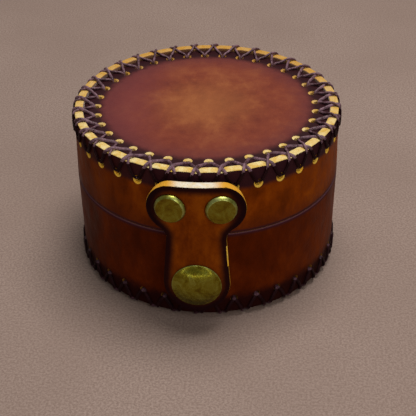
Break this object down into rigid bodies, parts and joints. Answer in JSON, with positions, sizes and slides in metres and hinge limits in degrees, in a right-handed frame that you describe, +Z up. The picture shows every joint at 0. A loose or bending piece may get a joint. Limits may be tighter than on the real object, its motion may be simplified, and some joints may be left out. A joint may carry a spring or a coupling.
{
  "type": "leather jewelry box",
  "caption": "Small round laced leather box with a hinged lid, closed at the front by a riveted strap with a snap.",
  "frame": {"origin": "below the middle of the whole outline, at the level of the surface the box stands on", "axes": "+Z up out of the lid, -Y towards the strap and snap, +Y towards the hinge"},
  "size_m": [0.0862, 0.0958, 0.0535],
  "materials": {
    "shell_leather": "satin",
    "top_leather": "satin",
    "lace": "satin",
    "brass": "polished",
    "lining": "matte"
  },
  "bodies": {
    "base": {"base_wall": "shell_leather", "base_bottom": "shell_leather", "base_lacing": "lace", "base_liner": "lining", "floor_pad": "lining", "snap_stud": "brass", "snap_stud_post": "brass", "hinge_lower_leaf": "shell_leather", "hinge_lower_rivet_caps": "brass", "hinge_lower_rivet_posts": "brass"},
    "lid": {"lid_wall": "shell_leather", "lid_top": "top_leather", "lid_lacing": "lace", "strap_yoke": "shell_leather", "strap_rivet_caps": "brass", "strap_rivet_posts": "brass", "hinge_upper_leaf": "shell_leather", "hinge_upper_rivet_caps": "brass", "hinge_upper_rivet_posts": "brass"},
    "strap": {"strap_tongue": "shell_leather", "snap_cap": "brass", "snap_socket": "brass"}
  },
  "joints": [
    {"name": "lid_hinge", "type": "hinge", "parent": "base", "child": "lid", "pos_m": [0, 0.04625, 0.03095], "axis": [-1, 0, 0], "range_deg": [0, 105]},
    {"name": "strap_flex", "type": "hinge", "parent": "lid", "child": "strap", "pos_m": [0, -0.04405, 0.03215], "axis": [-1, 0, 0], "range_deg": [0, 105]}
  ]
}
